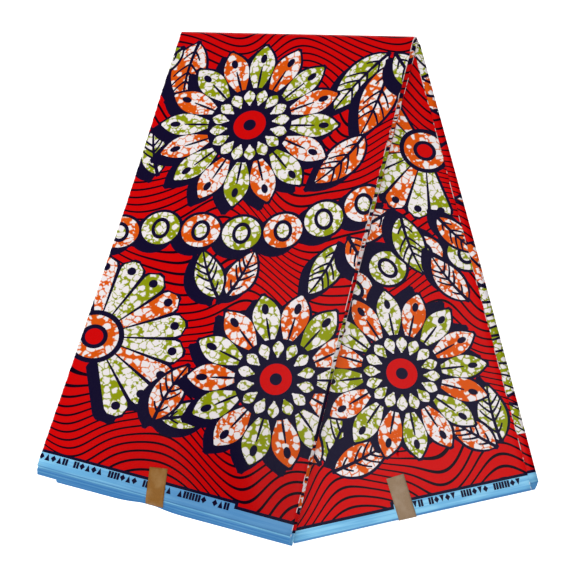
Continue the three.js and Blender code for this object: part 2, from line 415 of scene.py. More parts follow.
def finish(shader, roughness, gloss):
    shader.inputs["Roughness"].default_value = roughness
    shader.inputs["Specular IOR Level"].default_value = gloss


def bump(bench, shader, height, strength, distance):
    inputs = {"Height": height, "Strength": strength, "Distance": distance}
    bench.feed(shader.inputs["Normal"], bench.node("Bump", inputs).outputs["Normal"])


def cotton(name, paint, *details, blotches=0.08, painted_shade=0.22, paler=True):
    """Waxed cotton. Its colour is what paint gives for a place on the unfolded cloth, stronger or weaker as
    the dye took, darker under a painted shade towards one corner of the upper half's end, and paler along a
    sheet's folded edges, for wear and a painted highlight."""
    material, bench, shader = new_material(name)
    place = bench.node("UVMap", uv_map=CLOTH_MAP).outputs[0]
    tone = bench.group("dye_tone", Place=place, Blotches=blotches)["Tone"]
    # A painted shade, darker towards the right of the upper half's end.
    if painted_shade:
        share = bench.times(bench.group("painted_corner_shade", Place=place)["Deeper"], painted_shade)
        tone = bench.times(tone, bench.minus(1.0, share))
    inputs = {0: paint(bench, place, *details), 3: tone}
    colour = bench.node("VectorMath", inputs, operation="SCALE").outputs[0]
    # Wear and a painted highlight: paler along the rolled, folded edges.
    if paler:
        pale = bench.group("fold_wear_and_highlight", Place=place)["Pale"]
        colour = bench.mix(bench.times(pale, FOLD_WEAR_AND_HIGHLIGHT), colour, dye(WHITE))
    bench.feed(shader.inputs["Base Color"], colour)
    finish(shader, 0.32, 0.06)
    bump(bench, shader, bench.group("cotton_weave", Place=place)["Height"], 0.12, 0.0001)
    return material


def lined_red(bench, place):
    """The red ground, with navy wave lines."""
    return bench.mix(bench.group("wave_lines", Place=place)["Line"], dye(RED), dye(LINE_NAVY))


def plain(bench, place, colour):
    return dye(colour)[:3]


def crackled(bench, place, colour, cover):
    """A dye broken by white bubbles and cracks, and paler beside them."""
    crackle = bench.group("wax_crackle", Place=place, Cover=cover)
    pale = tuple(0.45 * c + 0.55 * w for c, w in zip(dye(colour), dye(CREAM)))
    tint = bench.mix(bench.times(crackle["Rim"], 0.6), dye(colour), pale)
    return bench.mix(crackle["Bare"], tint, dye(WHITE))


def streaked_blue(bench, place, from_end):
    """The light blue of the selvedge, with a painted shade at the cut end, where the layers step down."""
    streaks = bench.group("selvedge_streaks", Place=place, From_End=from_end)
    blue = bench.mix(streaks["Pale"], dye(SELVEDGE_DARK), dye(SELVEDGE_BLUE))
    # Painted shade at the cut end.
    return bench.mix(bench.times(streaks["Fray"], 0.7), blue, dye(SELVEDGE_END_SHADE))


def distance_from_end(bench, v, strip_length):
    """How far v is from the nearer end of the strip, in metres."""
    return bench.math("MINIMUM", v, bench.minus(strip_length * MM, v))


def selvedge(bench, place, strip_length):
    """The light blue selvedge, streaked along its threads, with a painted shade towards one corner."""
    from_end = distance_from_end(bench, bench.split(place)[1], strip_length)
    # A painted shade on the selvedge towards the right of the upper half's end.
    painted_shade = bench.times(bench.group("painted_corner_shade", Place=place)["Deeper"], 0.75)
    return bench.mix(painted_shade, streaked_blue(bench, place, from_end), dye(SELVEDGE_CORNER_SHADE))


LOOP_SPAN = 2  # the cloth in a fold, from one pleat to the next
PLEAT_PAIR = 2 * (CLOTH_ACROSS + LOOP_SPAN)
PRINT_SHIFT = 2.4  # how much further on the print has come at the next fold on the same side
BARE_GROUND = 62  # the print has no motifs this near to the lower half's end


def hidden_print(bench, place, strip_length):
    """What shows of the print at the folds and ends of the layers beneath, which comes round again at
    every second pleat, a little further on."""
    u, v, _ = bench.split(place)
    pair = bench.math("FLOOR", bench.math("DIVIDE", u, PLEAT_PAIR * MM))
    place = bench.join(bench.minus(u, bench.times(pair, (PLEAT_PAIR - PRINT_SHIFT) * MM)), v)
    region_place = bench.scaled(place, 9.0, 15.0)
    pick = bench.split(bench.cells(region_place, 1.0)["Color"])[0]
    border = bench.cells(region_place, 1.0, "DISTANCE_TO_EDGE")["Distance"]
    bare = bench.group("wax_crackle", Place=place, Cover=0.55)["Bare"]
    line = bench.group("wave_lines", Place=place, Spacing=0.017, Thickness=0.003)["Line"]
    orange, green = (
        bench.mix(line, bench.mix(bare, dye(shade), dye(WHITE)), dye(NAVY)) for shade in (ORANGE, GREEN)
    )
    ground = lined_red(bench, place)
    from_end = distance_from_end(bench, v, strip_length)
    # Painted shade: every second pair of layers is darker, for the shade between the stepped ends of the
    # layers.
    darker = bench.times(bench.math("FLOORED_MODULO", pair, 2.0), 0.6)
    blue = bench.mix(darker, streaked_blue(bench, place, from_end), dye(SELVEDGE_END_SHADE))
    colour = ground
    for value, comparison, limit, over in (
        (pick, "GREATER_THAN", 0.26, orange),
        (pick, "GREATER_THAN", 0.62, green),
        (pick, "GREATER_THAN", 0.93, dye(NAVY)),
        (border, "LESS_THAN", 0.025, dye(NAVY)),
        (v, "GREATER_THAN", (strip_length - BARE_GROUND) * MM, ground),
        (from_end, "LESS_THAN", NAVY_LINE_END * MM, dye(NAVY)),
        (from_end, "LESS_THAN", SELVEDGE * MM, blue),
    ):
        colour = bench.mix(bench.math(comparison, value, limit), colour, over)
    return colour


def kraft_paper(name, colour):
    """Plain brown paper, with fibres and a slightly worn patch."""
    material, bench, shader = new_material(name)
    place = bench.node("TexCoord").outputs["Object"]
    fibres = bench.noise(place, 900.0, detail=4.0, roughness=0.7, dimensions="3D")[0]
    cloud = bench.noise(place, 70.0, dimensions="3D")[0]
    darker = dye(tuple(c * 0.9 for c in colour))
    paler = dye(tuple(c + (190 - c) * 0.16 for c in colour))
    shade = bench.mix(bench.ramp(fibres, 0.3, 0.7), darker, dye(colour))
    shade = bench.mix(bench.ramp(cloud, 0.45, 0.75), shade, paler)
    bench.feed(shader.inputs["Base Color"], shade)
    finish(shader, 0.62, 0.25)
    bump(bench, shader, fibres, 0.25, 0.0002)
    return material


def plain_floor():
    material, _, shader = new_material("plain_floor")
    shader.inputs["Base Color"].default_value = (1, 1, 1, 1)
    finish(shader, 0.9, 0.1)
    shader.inputs["Emission Color"].default_value = (1, 1, 1, 1)
    shader.inputs["Emission Strength"].default_value = 0.4
    return material


# ---- Where the layers lie ----
PINCH = {"x": -166, "width": 20, "depth": 3.4}  # the front band draws in the ends of the layers under it


def smooth(value, start, end):
    """0 up to start, 1 from end on, and smooth between them."""
    share = np.clip((value - start) / (end - start), 0, 1)
    return share * share * (3 - 2 * share)


def mixed_row(outermost, innermost, fan, reach):
    """A row between two others, as far as its fan and its reach say."""
    row = {name: outermost[name] + (innermost[name] - outermost[name]) * fan for name in COLUMNS}
    row["length"] = outermost["length"] + (innermost["length"] - outermost["length"]) * reach
    row["reach"] = reach
    return row


def make_layer(number, slip=0.0):
    """Where layer number lies: 0 is the outermost of the folded strip, and the innermost comes last."""
    front_fan, front_reach, back_fan, back_reach = (
        np.interp(number, GROUP_LAYERS, shares) for shares in (FRONT_FAN, FRONT_REACH, BACK_FAN, BACK_REACH)
    )
    front = mixed_row(FRONT_OUTERMOST, FRONT_INNERMOST, front_fan, front_reach)
    back = mixed_row(BACK_OUTERMOST, BACK_INNERMOST, back_fan, back_reach)
    front["length"] += slip
    back["length"] -= slip
    under = THICKNESS / 2 + PITCH * number
    above = LIFT + THICKNESS / 2 + PITCH * (INNERMOST_LAYER - number)
    radius = (above - under) / 2
    return {
        "front": front,
        "back": back,
        "above": above,
        "under": under,
        "radius": radius,
        "turn": pi * radius,
        "slope": TOP_SLOPE + (UNDER_SLOPE - TOP_SLOPE) * (number / INNERMOST_LAYER),
        "length": front["length"] + pi * radius + back["length"],
    }


def edge_place(row, side, length, along):
    """A point of one long edge, which starts on the fold's line, leans, and bows to the right."""
    run = length * along
    start, lean = row["fold_" + side], radians(row["lean_" + side])
    return start + run * sin(lean) + row["bow_" + side] * np.sin(pi * along), fold_y(start) - run * cos(lean)


def mean_lean(row):
    return radians((row["lean_left"] + row["lean_right"]) / 2)


def row_place(row, across, along):
    """Across (0 left, 1 right) and along (0 at the fold, 1 at the cut end) a flat layer, seen from above."""
    skew = (row["fold_right"] - row["fold_left"]) * sin(mean_lean(row)) - row["end_skew"]
    left_x, left_y = edge_place(row, "left", row["length"] + skew / 2, along)
    right_x, right_y = edge_place(row, "right", row["length"] - skew / 2, along)
    x, y = left_x + (right_x - left_x) * across, left_y + (right_y - left_y) * across
    beside = (x - PINCH["x"]) / PINCH["width"]
    return x, y + PINCH["depth"] * row["reach"] * np.exp(-(beside**2)) * smooth(along, 0.94, 1)


def lifted(x, y, slope):
    """How high the upper half's underside lies: LIFT over the lower half, nothing past the slope."""
    lean = radians(BACK_INNERMOST["lean_left"])
    edge_x = BACK_INNERMOST["fold_left"]
    beside = (x - edge_x) * cos(lean) + (y - fold_y(edge_x)) * sin(lean)
    return LIFT * smooth(beside, -SLOPE_HEAD - slope, -SLOPE_HEAD)


# Soft creases left by handling: each runs from start to end, and is deep (mm, down) and wide.
CREASES = (
    # start, end, depth, width
    ((-150, -60), (40, -130), 0.35, 16),
    ((-60, -250), (60, -190), 0.3, 12),
    ((-230, -330), (-120, -290), 0.4, 14),
    ((-110, -420), (20, -470), 0.35, 15),
    ((-270, -470), (-180, -500), 0.45, 11),
    ((-190, -560), (-60, -575), 0.3, 13),
    ((150, -140), (175, -300), 0.3, 14),
    ((60, -440), (190, -400), 0.35, 16),
    ((140, -520), (250, -480), 0.4, 12),
)


def settled(x, y):
    """How far the top of the stack lies above its even height: slow waves and soft creases."""
    waves = 0.28 * np.sin(x / 47 + y / 83 + 0.6) + 0.2 * np.sin(x / 29 - y / 61 + 2.1)
    waves = waves + 0.12 * np.sin(y / 17 + x / 90)
    for (x1, y1), (x2, y2), depth, width in CREASES:
        run_x, run_y = x2 - x1, y2 - y1
        reach = ((x - x1) * run_x + (y - y1) * run_y) / (run_x**2 + run_y**2)
        beside = ((x - x1) * run_y - (y - y1) * run_x) / np.hypot(run_x, run_y)
        fade = smooth(reach, -0.15, 0.25) * smooth(-reach, -1.15, -0.75)
        waves = waves - depth * fade * np.exp(-((beside / width) ** 2))
    return waves * smooth(-y, 0, 70)


def eased(height, share):
    """A height raised by a share of itself, save that what lies on the floor stays there."""
    floor = THICKNESS / 2
    return floor + (height - floor) * (1 + share)


def front_height(layer, x, y):
    """How high a layer of the upper half lies at a place."""
    height = layer["above"] - LIFT + lifted(x, y, layer["slope"])
    return eased(height, settled(x, y) / (LIFT + BEND_HEIGHT))


def back_height(layer, x, y):
    """How high a layer of the lower half lies at a place."""
    return eased(layer["under"], settled(x, y) / BEND_HEIGHT / 2)


def layer_place(layer, across, station):
    """Points of a layer: station runs from 0 at the upper half's end to 1 at the fold, turns over up to
    2, and ends at 3, the lower half's end. Gives x, y, z and the angle that the outside faces."""
    front_x, front_y = row_place(layer["front"], across, np.clip(1 - station, 0, 1))
    back_x, back_y = row_place(layer["back"], across, np.clip(station - 2, 0, 1))
    on_front = station < 1
    on_back = station > 2
    turned = np.clip(station - 1, 0, 1)
    angle = pi / 2 - turned * pi
    out = np.where(on_front | on_back, 0, layer["radius"] * np.cos(angle))
    x = front_x + (back_x - front_x) * turned
    y = front_y + (back_y - front_y) * turned + out
    turn_height = (layer["above"] + layer["under"]) / 2 + layer["radius"] * np.sin(angle)
    z = np.where(on_back, back_height(layer, x, y), turn_height)
    return x, y, np.where(on_front, front_height(layer, x, y), z), angle


def sideways(layer, station):
    """The direction across a layer, from left to right, seen from above."""
    front, back = mean_lean(layer["front"]), mean_lean(layer["back"])
    lean = front + (back - front) * np.clip(station - 1, 0, 1)
    return np.cos(lean), np.sin(lean)


def station_at(layer, v):
    """The station at v millimetres along the strip from the upper half's end."""
    front = layer["front"]["length"]
    return np.interp(v, (0, front, front + layer["turn"], layer["length"]), (0, 1, 2, 3))


def in_metres(x, y, z):
    return np.stack([(x + FOLD_X) * MM, (y + FOLD_Y) * MM, z * MM], axis=-1)


# ---- Outlines of the print, in millimetres across and along the cloth ----
def swept(axis, half_width):
    """A closed outline round a line of points, half_width to each side."""
    run = np.gradient(axis, axis=0)
    run = run / np.linalg.norm(run, axis=1)[:, None]
    side = np.stack([-run[:, 1], run[:, 0]], axis=1) * half_width[:, None]
    return np.concatenate([axis + side, (axis - side)[::-1]])


def bent_line(at, angle, length, bend=0.0, count=15):
    """Points of a line from at, that leaves at angle (degrees) and bends by bend degrees on its way."""
    heading = np.radians(angle + bend * np.linspace(0, 1, count))
    middle = (heading[1:] + heading[:-1]) / 2
    step = length / (count - 1)
    x, y = (np.concatenate([[0], np.cumsum(step * part)]) for part in (np.cos(middle), np.sin(middle)))
    return np.stack([at[0] + x, at[1] + y], axis=1)


def spoke(at, angle, start, length, count=13):
    """Points of a straight line away from at, that begins at the distance start."""
    heading = np.array([cos(radians(angle)), sin(radians(angle))])
    return bent_line(at + start * heading, angle, length, 0.0, count)


def leaf_width(count, width, fullest=0.45, tip=0.4):
    """Half widths of a leaf or petal whose fullest place is at the given share of its length."""
    share = np.linspace(0, 1, count) ** (np.log(0.5) / np.log(fullest))
    return np.maximum(width / 2 * np.sin(pi * share) ** 0.8, tip)


def grown(axis, half_width):
    """The outline of a swept shape, with a border added all round."""
    start, end = (
        point + (point - inner) / np.linalg.norm(point - inner) * BORDER
        for point, inner in ((axis[0], axis[1]), (axis[-1], axis[-2]))
    )
    wide = half_width + BORDER
    wide = np.concatenate([wide[:1] * BLUNT, wide, wide[-1:] * BLUNT])
    return swept(np.concatenate([[start], axis, [end]]), wide)


def disc(at, radius, count, squash=1.0, turn=0.0):
    angle = np.linspace(0, 2 * pi, count, endpoint=False)
    x, y = radius * np.cos(angle), radius * squash * np.sin(angle)
    c, s = cos(radians(turn)), sin(radians(turn))
    return np.stack([at[0] + x * c - y * s, at[1] + x * s + y * c], axis=1)


def smooth_line(points, count):
    """A smooth line through the points (Catmull-Rom)."""
    padded = np.concatenate([[2 * points[0] - points[1]], points, [2 * points[-1] - points[-2]]])
    spans = len(points) - 1
    line = []
    for value in np.linspace(0, spans, count):
        span = min(int(value), spans - 1)
        t = value - span
        a, b, c, d = padded[span:span + 4]
        line.append(0.5 * (2 * b + (c - a) * t + (2 * a - 5 * b + 4 * c - d) * t**2
                           + (3 * b - a - 3 * c + d) * t**3))
    return np.array(line)


class Print:
    """The shapes of one stretch of print, each laid over those before it."""

    def __init__(self):
        self.shapes = []

    def add(self, dye_name, outline):
        self.shapes.append((dye_name, outline))

    def navy(self, outline):
        self.add("navy_dye", outline)

    def shadowed(self, outlines):
        """Navy shadows, then navy borders, for a motif's outlines."""
        for shift in (SHADOW, (0, 0)):
            for outline in outlines:
                self.navy(outline + np.array(shift))

    def rings(self, at, radius, *discs):
        """Discs about one centre: each one's dye, its share of the radius and its number of points."""
        for dye_name, share, count in discs:
            self.add(dye_name, disc(at, radius * share, count))

    def leaf(self, at, angle, length, width, colour, bend):
        axis = bent_line(at, angle, length, bend)
        half = leaf_width(len(axis), width)
        self.shadowed([grown(axis, half)])
        self.add(colour, swept(axis, half))
        self.navy(swept(axis, np.linspace(2.2, 1.0, len(axis))))
        for share in 0.12 + 0.66 * (np.arange(VEINS) + 0.5) / VEINS:
            spot = int(share * (len(axis) - 1))
            heading = angle + bend * share
            for side in (-1, 1):
                line = bent_line(axis[spot], heading + side * 52, half[spot] * 1.28, -side * 26, 7)
                self.navy(swept(line, np.linspace(1.5, 0.9, len(line))))

    def rosette(self, at, radius, petals, turn):
        """A round flower: two rings of straight pointed petals about a ringed centre."""
        length = radius * 0.64
        width = 2 * pi * radius * 0.7 / petals
        half = leaf_width(13, width, 0.6, 1.2)
        angles = [turn + 360 * number / petals for number in range(petals)]
        axes = [spoke(at, angle, radius - length, length) for angle in angles]
        self.shadowed([grown(axis, half) for axis in axes])
        for number, axis in enumerate(axes):
            self.add("orange_wax" if number % 2 else "green_wax", swept(axis, half))
        for axis, angle in zip(axes, angles):
            self.navy(disc(axis[9], width * 0.21, 20, 0.62, angle))
            seam = bent_line(axis[2], angle, length * 0.42, 0.0, 5)
            self.navy(swept(seam, np.array([1.0, 1.5, 1.5, 1.2, 0.7])))
        self.navy(disc(at, radius * 0.47, 56))
        half = leaf_width(9, radius * 0.125, 0.6, 0.8)
        for number in range(petals):
            angle = turn + 360 * (number + 0.5) / petals
            self.add("white_wax", swept(spoke(at, angle, radius * 0.25, radius * 0.19, 9), half))
        self.rings(at, radius, ("navy_dye", 0.24, 40), ("plain_red", 0.18, 40), ("navy_dye", 0.07, 24))

    def fan(self, at, radius, facing):
        """A fan of wedge-shaped blades with round ends, about a small half disc."""
        blade_turn = FAN_SPREAD / FAN_BLADES
        first = facing - FAN_SPREAD / 2
        share = np.linspace(0, 1, 13)
        half = np.maximum(radius * (0.3 + 0.7 * share) * sin(radians(blade_turn / 2)) * 0.86, 0.8)
        round_end = np.sqrt(np.clip(1 - ((share - 0.8) / 0.205) ** 2, 0.02, 1))
        half = half * np.where(share > 0.8, round_end, 1)
        axes = [
            spoke(at, first + blade_turn * (number + 0.5), radius * 0.3, radius * 0.7)
            for number in range(FAN_BLADES)
        ]
        self.shadowed([grown(axis, half) for axis in axes])
        for number, axis in enumerate(axes):
            self.add(("green_wax", "white_wax", "orange_wax")[number % 3], swept(axis, half))
            self.navy(disc(axis[10], half[8] * 0.45, 18))
        self.rings(
            at, radius,
            ("navy_dye", 0.33, 40), ("orange_wax", 0.27, 36), ("navy_dye", 0.15, 28), ("plain_red", 0.1, 24),
        )

    def garland(self, *axis_points):
        """A chain of oval beads along a smooth line of points."""
        line = smooth_line(np.array(axis_points, float), 200)
        run = np.concatenate([[0], np.cumsum(np.linalg.norm(np.diff(line, axis=0), axis=1))])
        count = int(run[-1] // BEAD)
        beads = []
        for number in range(count):
            middle = (number + 0.5) * run[-1] / count
            (x, ahead_x), (y, ahead_y) = (np.interp((middle, middle + 1), run, part) for part in line.T)
            beads.append(((x, y), np.degrees(np.arctan2(ahead_y - y, ahead_x - x))))
        outer, inner = BEAD / 2 + BORDER, BEAD / 2 - 0.4
        self.shadowed([disc(at, outer, 30, (BEAD_WIDTH / 2 + BORDER) / outer, angle) for at, angle in beads])
        for number, (at, angle) in enumerate(beads):
            colour = "green_wax" if number % 2 else "orange_wax"
            self.add(colour, disc(at, inner, 30, BEAD_WIDTH / 2 / inner, angle))
            self.navy(disc(at, BEAD * 0.24, 22, 1.25, angle))
            self.add("white_wax", disc(at, BEAD * 0.15, 20, 1.3, angle))

    def box(self, dye_name, left, right, near, far):
        self.add(dye_name, [(left, near), (right, near), (right, far), (left, far)])

    def selvedges(self, length, marks_from, marks_to):
        """The blue selvedge at each end, its navy line, and a row of plain marks that widens it."""
        inner_from = marks_from + (NAVY_LINE if marks_from > 0 else 0)
        inner_to = marks_to - (NAVY_LINE if marks_to < CLOTH_ACROSS else 0)
        for end, inward in ((0, 1), (length, -1)):
            for dye_name, first, last, far in (
                ("navy_dye", PAST_LEFT, PAST_RIGHT, NAVY_LINE_END),
                ("navy_dye", marks_from, marks_to, NAVY_LINE_END + MARKS_RISE),
                ("selvedge_blue", PAST_LEFT, PAST_RIGHT, SELVEDGE),
                ("selvedge_blue", inner_from, inner_to, SELVEDGE + MARKS_RISE),
            ):
                self.box(dye_name, first, last, end - inward * PAST_END, end + inward * far)
            self.marks(inner_from + 5, inner_to - 4, end + inward * MARKS_MIDDLE)

    def marks(self, first, last, centre):
        """Plain marks like beads on a string: bars, diamonds and wedges, with a space now and then."""
        tall = MARK_HEIGHT / 2
        near, far = centre - tall, centre + tall
        spot = first
        number = 0
        while spot < last:
            kind = number * 5 % 7
            space = number % 6 == 5
            if kind in (0, 3) and not space:
                wide = MARK_PITCH * 0.47
                self.navy(disc((spot, centre), wide, 4, tall / wide))
            elif kind in (1, 5) and not space:
                wide = MARK_PITCH * 0.42
                self.navy([(spot - wide, near), (spot + wide, near), (spot, far)])
            elif not space:
                for middle in (spot - MARK_PITCH * 0.24, spot + MARK_PITCH * 0.24):
                    self.box("navy_dye", middle - MARK_PITCH * 0.2, middle + MARK_PITCH * 0.2, near, far)
            spot += MARK_PITCH * (0.9 if space else 1)
            number += 1


def outer_print(length):
    """The print of the outermost layer: the upper half's face, the turn, and on below."""
    cloth = Print()
    cloth.garland((-20, 304), (50, 322), (130, 326), (200, 340), (300, 392))
    cloth.fan((14, 172), 104, 20)
    for row in (
        # at, angle, length, width, colour, bend
        ((150, 250), 66, 60, 32, "orange_wax", 16),
        ((140, 246), 130, 62, 32, "green_wax", -18),
        ((262, 566), 228, 88, 40, "green_wax", 18),
        ((268, 552), 268, 90, 42, "orange_wax", -14),
        ((272, 566), 310, 62, 30, "green_wax", 10),
        ((258, 462), 246, 76, 38, "orange_wax", -22),
        ((26, 574), 262, 84, 40, "orange_wax", 20),
        ((8, 566), 228, 60, 30, "green_wax", 0),
        ((26, 392), 118, 62, 30, "green_wax", -16),
        ((262, 330), 262, 66, 34, "green_wax", -20),
        ((272, 338), 310, 54, 28, "orange_wax", 10),
        ((116, 92), 14, 66, 30, "green_wax", 24),
        ((108, 88), 84, 74, 34, "orange_wax", -20),
    ):
        cloth.leaf(*row)
    cloth.rosette((118, 466), 106, 16, 4)
    cloth.rosette((230, 164), 100, 14, 10)
    # beneath the lower half
    cloth.rosette((70, 760), 100, 16, 0)
    cloth.rosette((220, 980), 100, 16, 8)
    cloth.garland((-20, 900), (60, 880), (150, 860), (300, 850))
    cloth.selvedges(length, PAST_LEFT, CLOTH_ACROSS * 0.78)
    return cloth


def inner_print(length):
    """The print of the innermost layer, which shows on the lower half."""
    cloth = Print()

    def below(u, down):
        """A place that far down from the fold."""
        return u, length / 2 + down

    cloth.fan(below(268, 150), 92, 168)
    cloth.garland(below(20, 316), below(90, 338), below(160, 312), below(230, 284), below(310, 296))
    for at, *row in (
        # at, angle, length, width, colour, bend
        ((205, 228), 150, 82, 38, "orange_wax", 16),
        ((218, 236), 92, 74, 36, "green_wax", -18),
        ((262, 240), 60, 60, 28, "orange_wax", -10),
        ((60, 520), 300, 84, 40, "green_wax", 18),
        ((50, 516), 250, 80, 38, "orange_wax", -14),
        ((66, 528), 350, 74, 34, "orange_wax", -12),
        ((268, 530), 262, 70, 34, "green_wax", 16),
        ((260, 536), 222, 64, 32, "orange_wax", 0),
        ((272, 350), 236, 66, 32, "orange_wax", 16),
    ):
        cloth.leaf(below(*at), *row)
    cloth.rosette(below(172, 430), 102, 16, 2)
    cloth.selvedges(length, CLOTH_ACROSS * 0.42, PAST_RIGHT)
    return cloth


# ---- Sheets with the print cut into them ----
FACE_GRID = 8  # how closely the faces are divided where they curve gently
TURN_ROWS = {"wide": 18, "tight": 5}
TUCK_LINES = [-pi * PITCH / 2 * share for share in (0, 0.25, 0.5, 0.75, 1)]  # where the long edges roll under


def facing_up(outline):
    """The outline with its points in order round to the left."""
    u, v = outline.T
    turns_left = np.sum(u * np.roll(v, -1) - v * np.roll(u, -1)) > 0
    return outline if turns_left else outline[::-1]


def stepped(start, end):
    """Points from start as far as the last before end, at most FACE_GRID apart."""
    count = max(1, int(np.ceil(np.linalg.norm(end - start) / FACE_GRID)))
    return [Vector((start + (end - start) * step / count).tolist()) for step in range(count)]


def cut_cloth(layer, cloth_print):
    """Cuts the print's outlines into a layer of cloth: gives points, triangles and each one's dye."""
    left, right = -EDGE_TUCK, CLOTH_ACROSS + EDGE_TUCK
    length = layer["length"]
    points = []
    edges = []
    faces = []

    def add(outline):
        outline = facing_up(np.array(outline, float))
        first = len(points)
        for start, end in zip(outline, np.roll(outline, -1, axis=0)):
            points.extend(stepped(start, end))
        faces.append(list(range(first, len(points))))

    def line(start, end):
        first = len(points)
        points.extend([*stepped(np.array(start, float), np.array(end, float)), Vector(end)])
        edges.extend((number, number + 1) for number in range(first, len(points) - 1))

    add([(left, 0), (right, 0), (right, length), (left, length)])
    for _, outline in cloth_print.shapes:
        add(outline)
    turn_start, turn_length = layer["front"]["length"], layer["turn"]
    rows = TURN_ROWS["wide" if turn_length > FACE_GRID else "tight"]
    for row in range(rows + 1):
        v = turn_start + turn_length * row / rows
        line((left, v), (right, v))
    for u in TUCK_LINES:
        line((u, 0), (u, length))
        line((CLOTH_ACROSS - u, 0), (CLOTH_ACROSS - u, length))
    for u in np.arange(FACE_GRID, CLOTH_ACROSS - 1, FACE_GRID):
        for v in np.arange(FACE_GRID / 2, length, FACE_GRID):
            if not turn_start - 1 < v < turn_start + turn_length + 1:
                points.append(Vector((float(u), float(v))))
    spots, _, triangles, _, _, sources = delaunay_2d_cdt(points, edges, faces, 0, 1e-4, True)
    kept = []
    dyes = []
    for triangle, source in zip(triangles, sources):
        if 0 in source:
            kept.append(triangle)
            top = max(source)
            dyes.append("red_ground" if top == 0 else cloth_print.shapes[top - 1][0])
    return np.array([(p.x, p.y) for p in spots]), np.array(kept), dyes


def lay_out(layer, spots, tuck):
    """Places points of the unfolded cloth on a folded layer, with the way that its outside faces.
    The long edges roll to the inside where tuck is 1, and to the outside where it is -1."""
    u, v = spots.T
    station = station_at(layer, v)
    x, y, z, angle = layer_place(layer, np.clip(u / CLOTH_ACROSS, 0, 1), station)
    side_x, side_y = sideways(layer, station)
    radius = PITCH / 2
    past = np.where(u < 0, -u, np.maximum(u - CLOTH_ACROSS, 0))
    hand = np.where(u < 0, -1, 1)
    turn = np.minimum(past / radius, pi)
    out = hand * (radius * np.sin(turn) - np.maximum(past - pi * radius, 0))
    down = tuck * radius * (1 - np.cos(turn))
    up_y, up_z = np.cos(angle), np.sin(angle)
    middle = np.stack([x + side_x * out, y + side_y * out - up_y * down, z - up_z * down], axis=1)
    side = hand * tuck * np.sin(turn)
    normal = np.stack([side_x * side, up_y * np.cos(turn) + side_y * side, up_z * np.cos(turn)], axis=1)
    return middle, normal / np.linalg.norm(normal, axis=1)[:, None]


def make_mesh(name, points, faces, material_numbers, materials, cloth_map=None):
    mesh = bpy.data.meshes.new(name)
    mesh.from_pydata(in_metres(*points.T).tolist(), [], faces)
    for material in materials:
        mesh.materials.append(material)
    mesh.polygons.foreach_set("material_index", material_numbers)
    mesh.polygons.foreach_set("use_smooth", [True] * len(faces))
    if cloth_map is not None:
        corners = np.empty(len(mesh.loops), dtype=np.int32)
        mesh.loops.foreach_get("vertex_index", corners)
        places = (cloth_map * MM)[corners].astype(np.float32)
        mesh.uv_layers.new(name=CLOTH_MAP).data.foreach_set("uv", places.ravel())
    mesh.validate()
    return new_object(name, mesh)


def printed_sheet(name, layer, cloth_print, materials, tuck):
    """A closed thin sheet on a layer, with the print on both of its faces."""
    spots, triangles, dyes = cut_cloth(layer, cloth_print)
    used, triangles = np.unique(triangles, return_inverse=True)
    spots = spots[used]
    middle, normal = lay_out(layer, spots, tuck)
    points = np.concatenate([middle + normal * THICKNESS / 2, middle - normal * THICKNESS / 2])
    count = len(spots)
    faces = [tuple(t) for t in triangles.reshape(-1, 3).tolist()]
    flipped = [(a + count, c + count, b + count) for a, b, c in faces]
    names = [material.name for material in materials]
    numbers = [names.index(d) for d in dyes]
    sides = {}
    for (a, b, c), number in zip(faces, numbers):
        for edge in ((a, b), (b, c), (c, a)):
            if edge[::-1] in sides:
                del sides[edge[::-1]]
            else:
                sides[edge] = number
    rims = [(b, a, a + count, b + count) for a, b in sides]
    numbers = numbers + numbers + list(sides.values())
    cloth_map = np.concatenate([spots, spots])
    return make_mesh(name, points, faces + flipped + rims, numbers, materials, cloth_map)


# ---- Pieces made as a grid of points ----
def grid_faces(wide, tall):
    """Faces between wide columns of tall points each."""
    corners = [column * tall + row for column in range(wide - 1) for row in range(tall - 1)]
    return [(a, a + tall, a + tall + 1, a + 1) for a in corners]


def thicken(made, thickness, offset):
    modifier = made.modifiers.new("thickness", "SOLIDIFY")
    modifier.thickness = thickness * MM
    modifier.offset = offset
    return made


PLEAT_STATIONS = 36  # along each half
PLEAT_TURN_STATIONS = 13
PLEAT_SHARES = (0, 0.02, *np.linspace(0.06, 0.94, 13), 0.98, 1)  # across each pleat
PLEAT_WALL = THICKNESS - 0.05
LOOP_OUT = 0.7  # how far a fold stands out past the layers that it joins
LOOP_ANGLES = (-55, 0, 55)
LOOP_HALF_TURN = 80  # the angle at which a fold meets the pleats


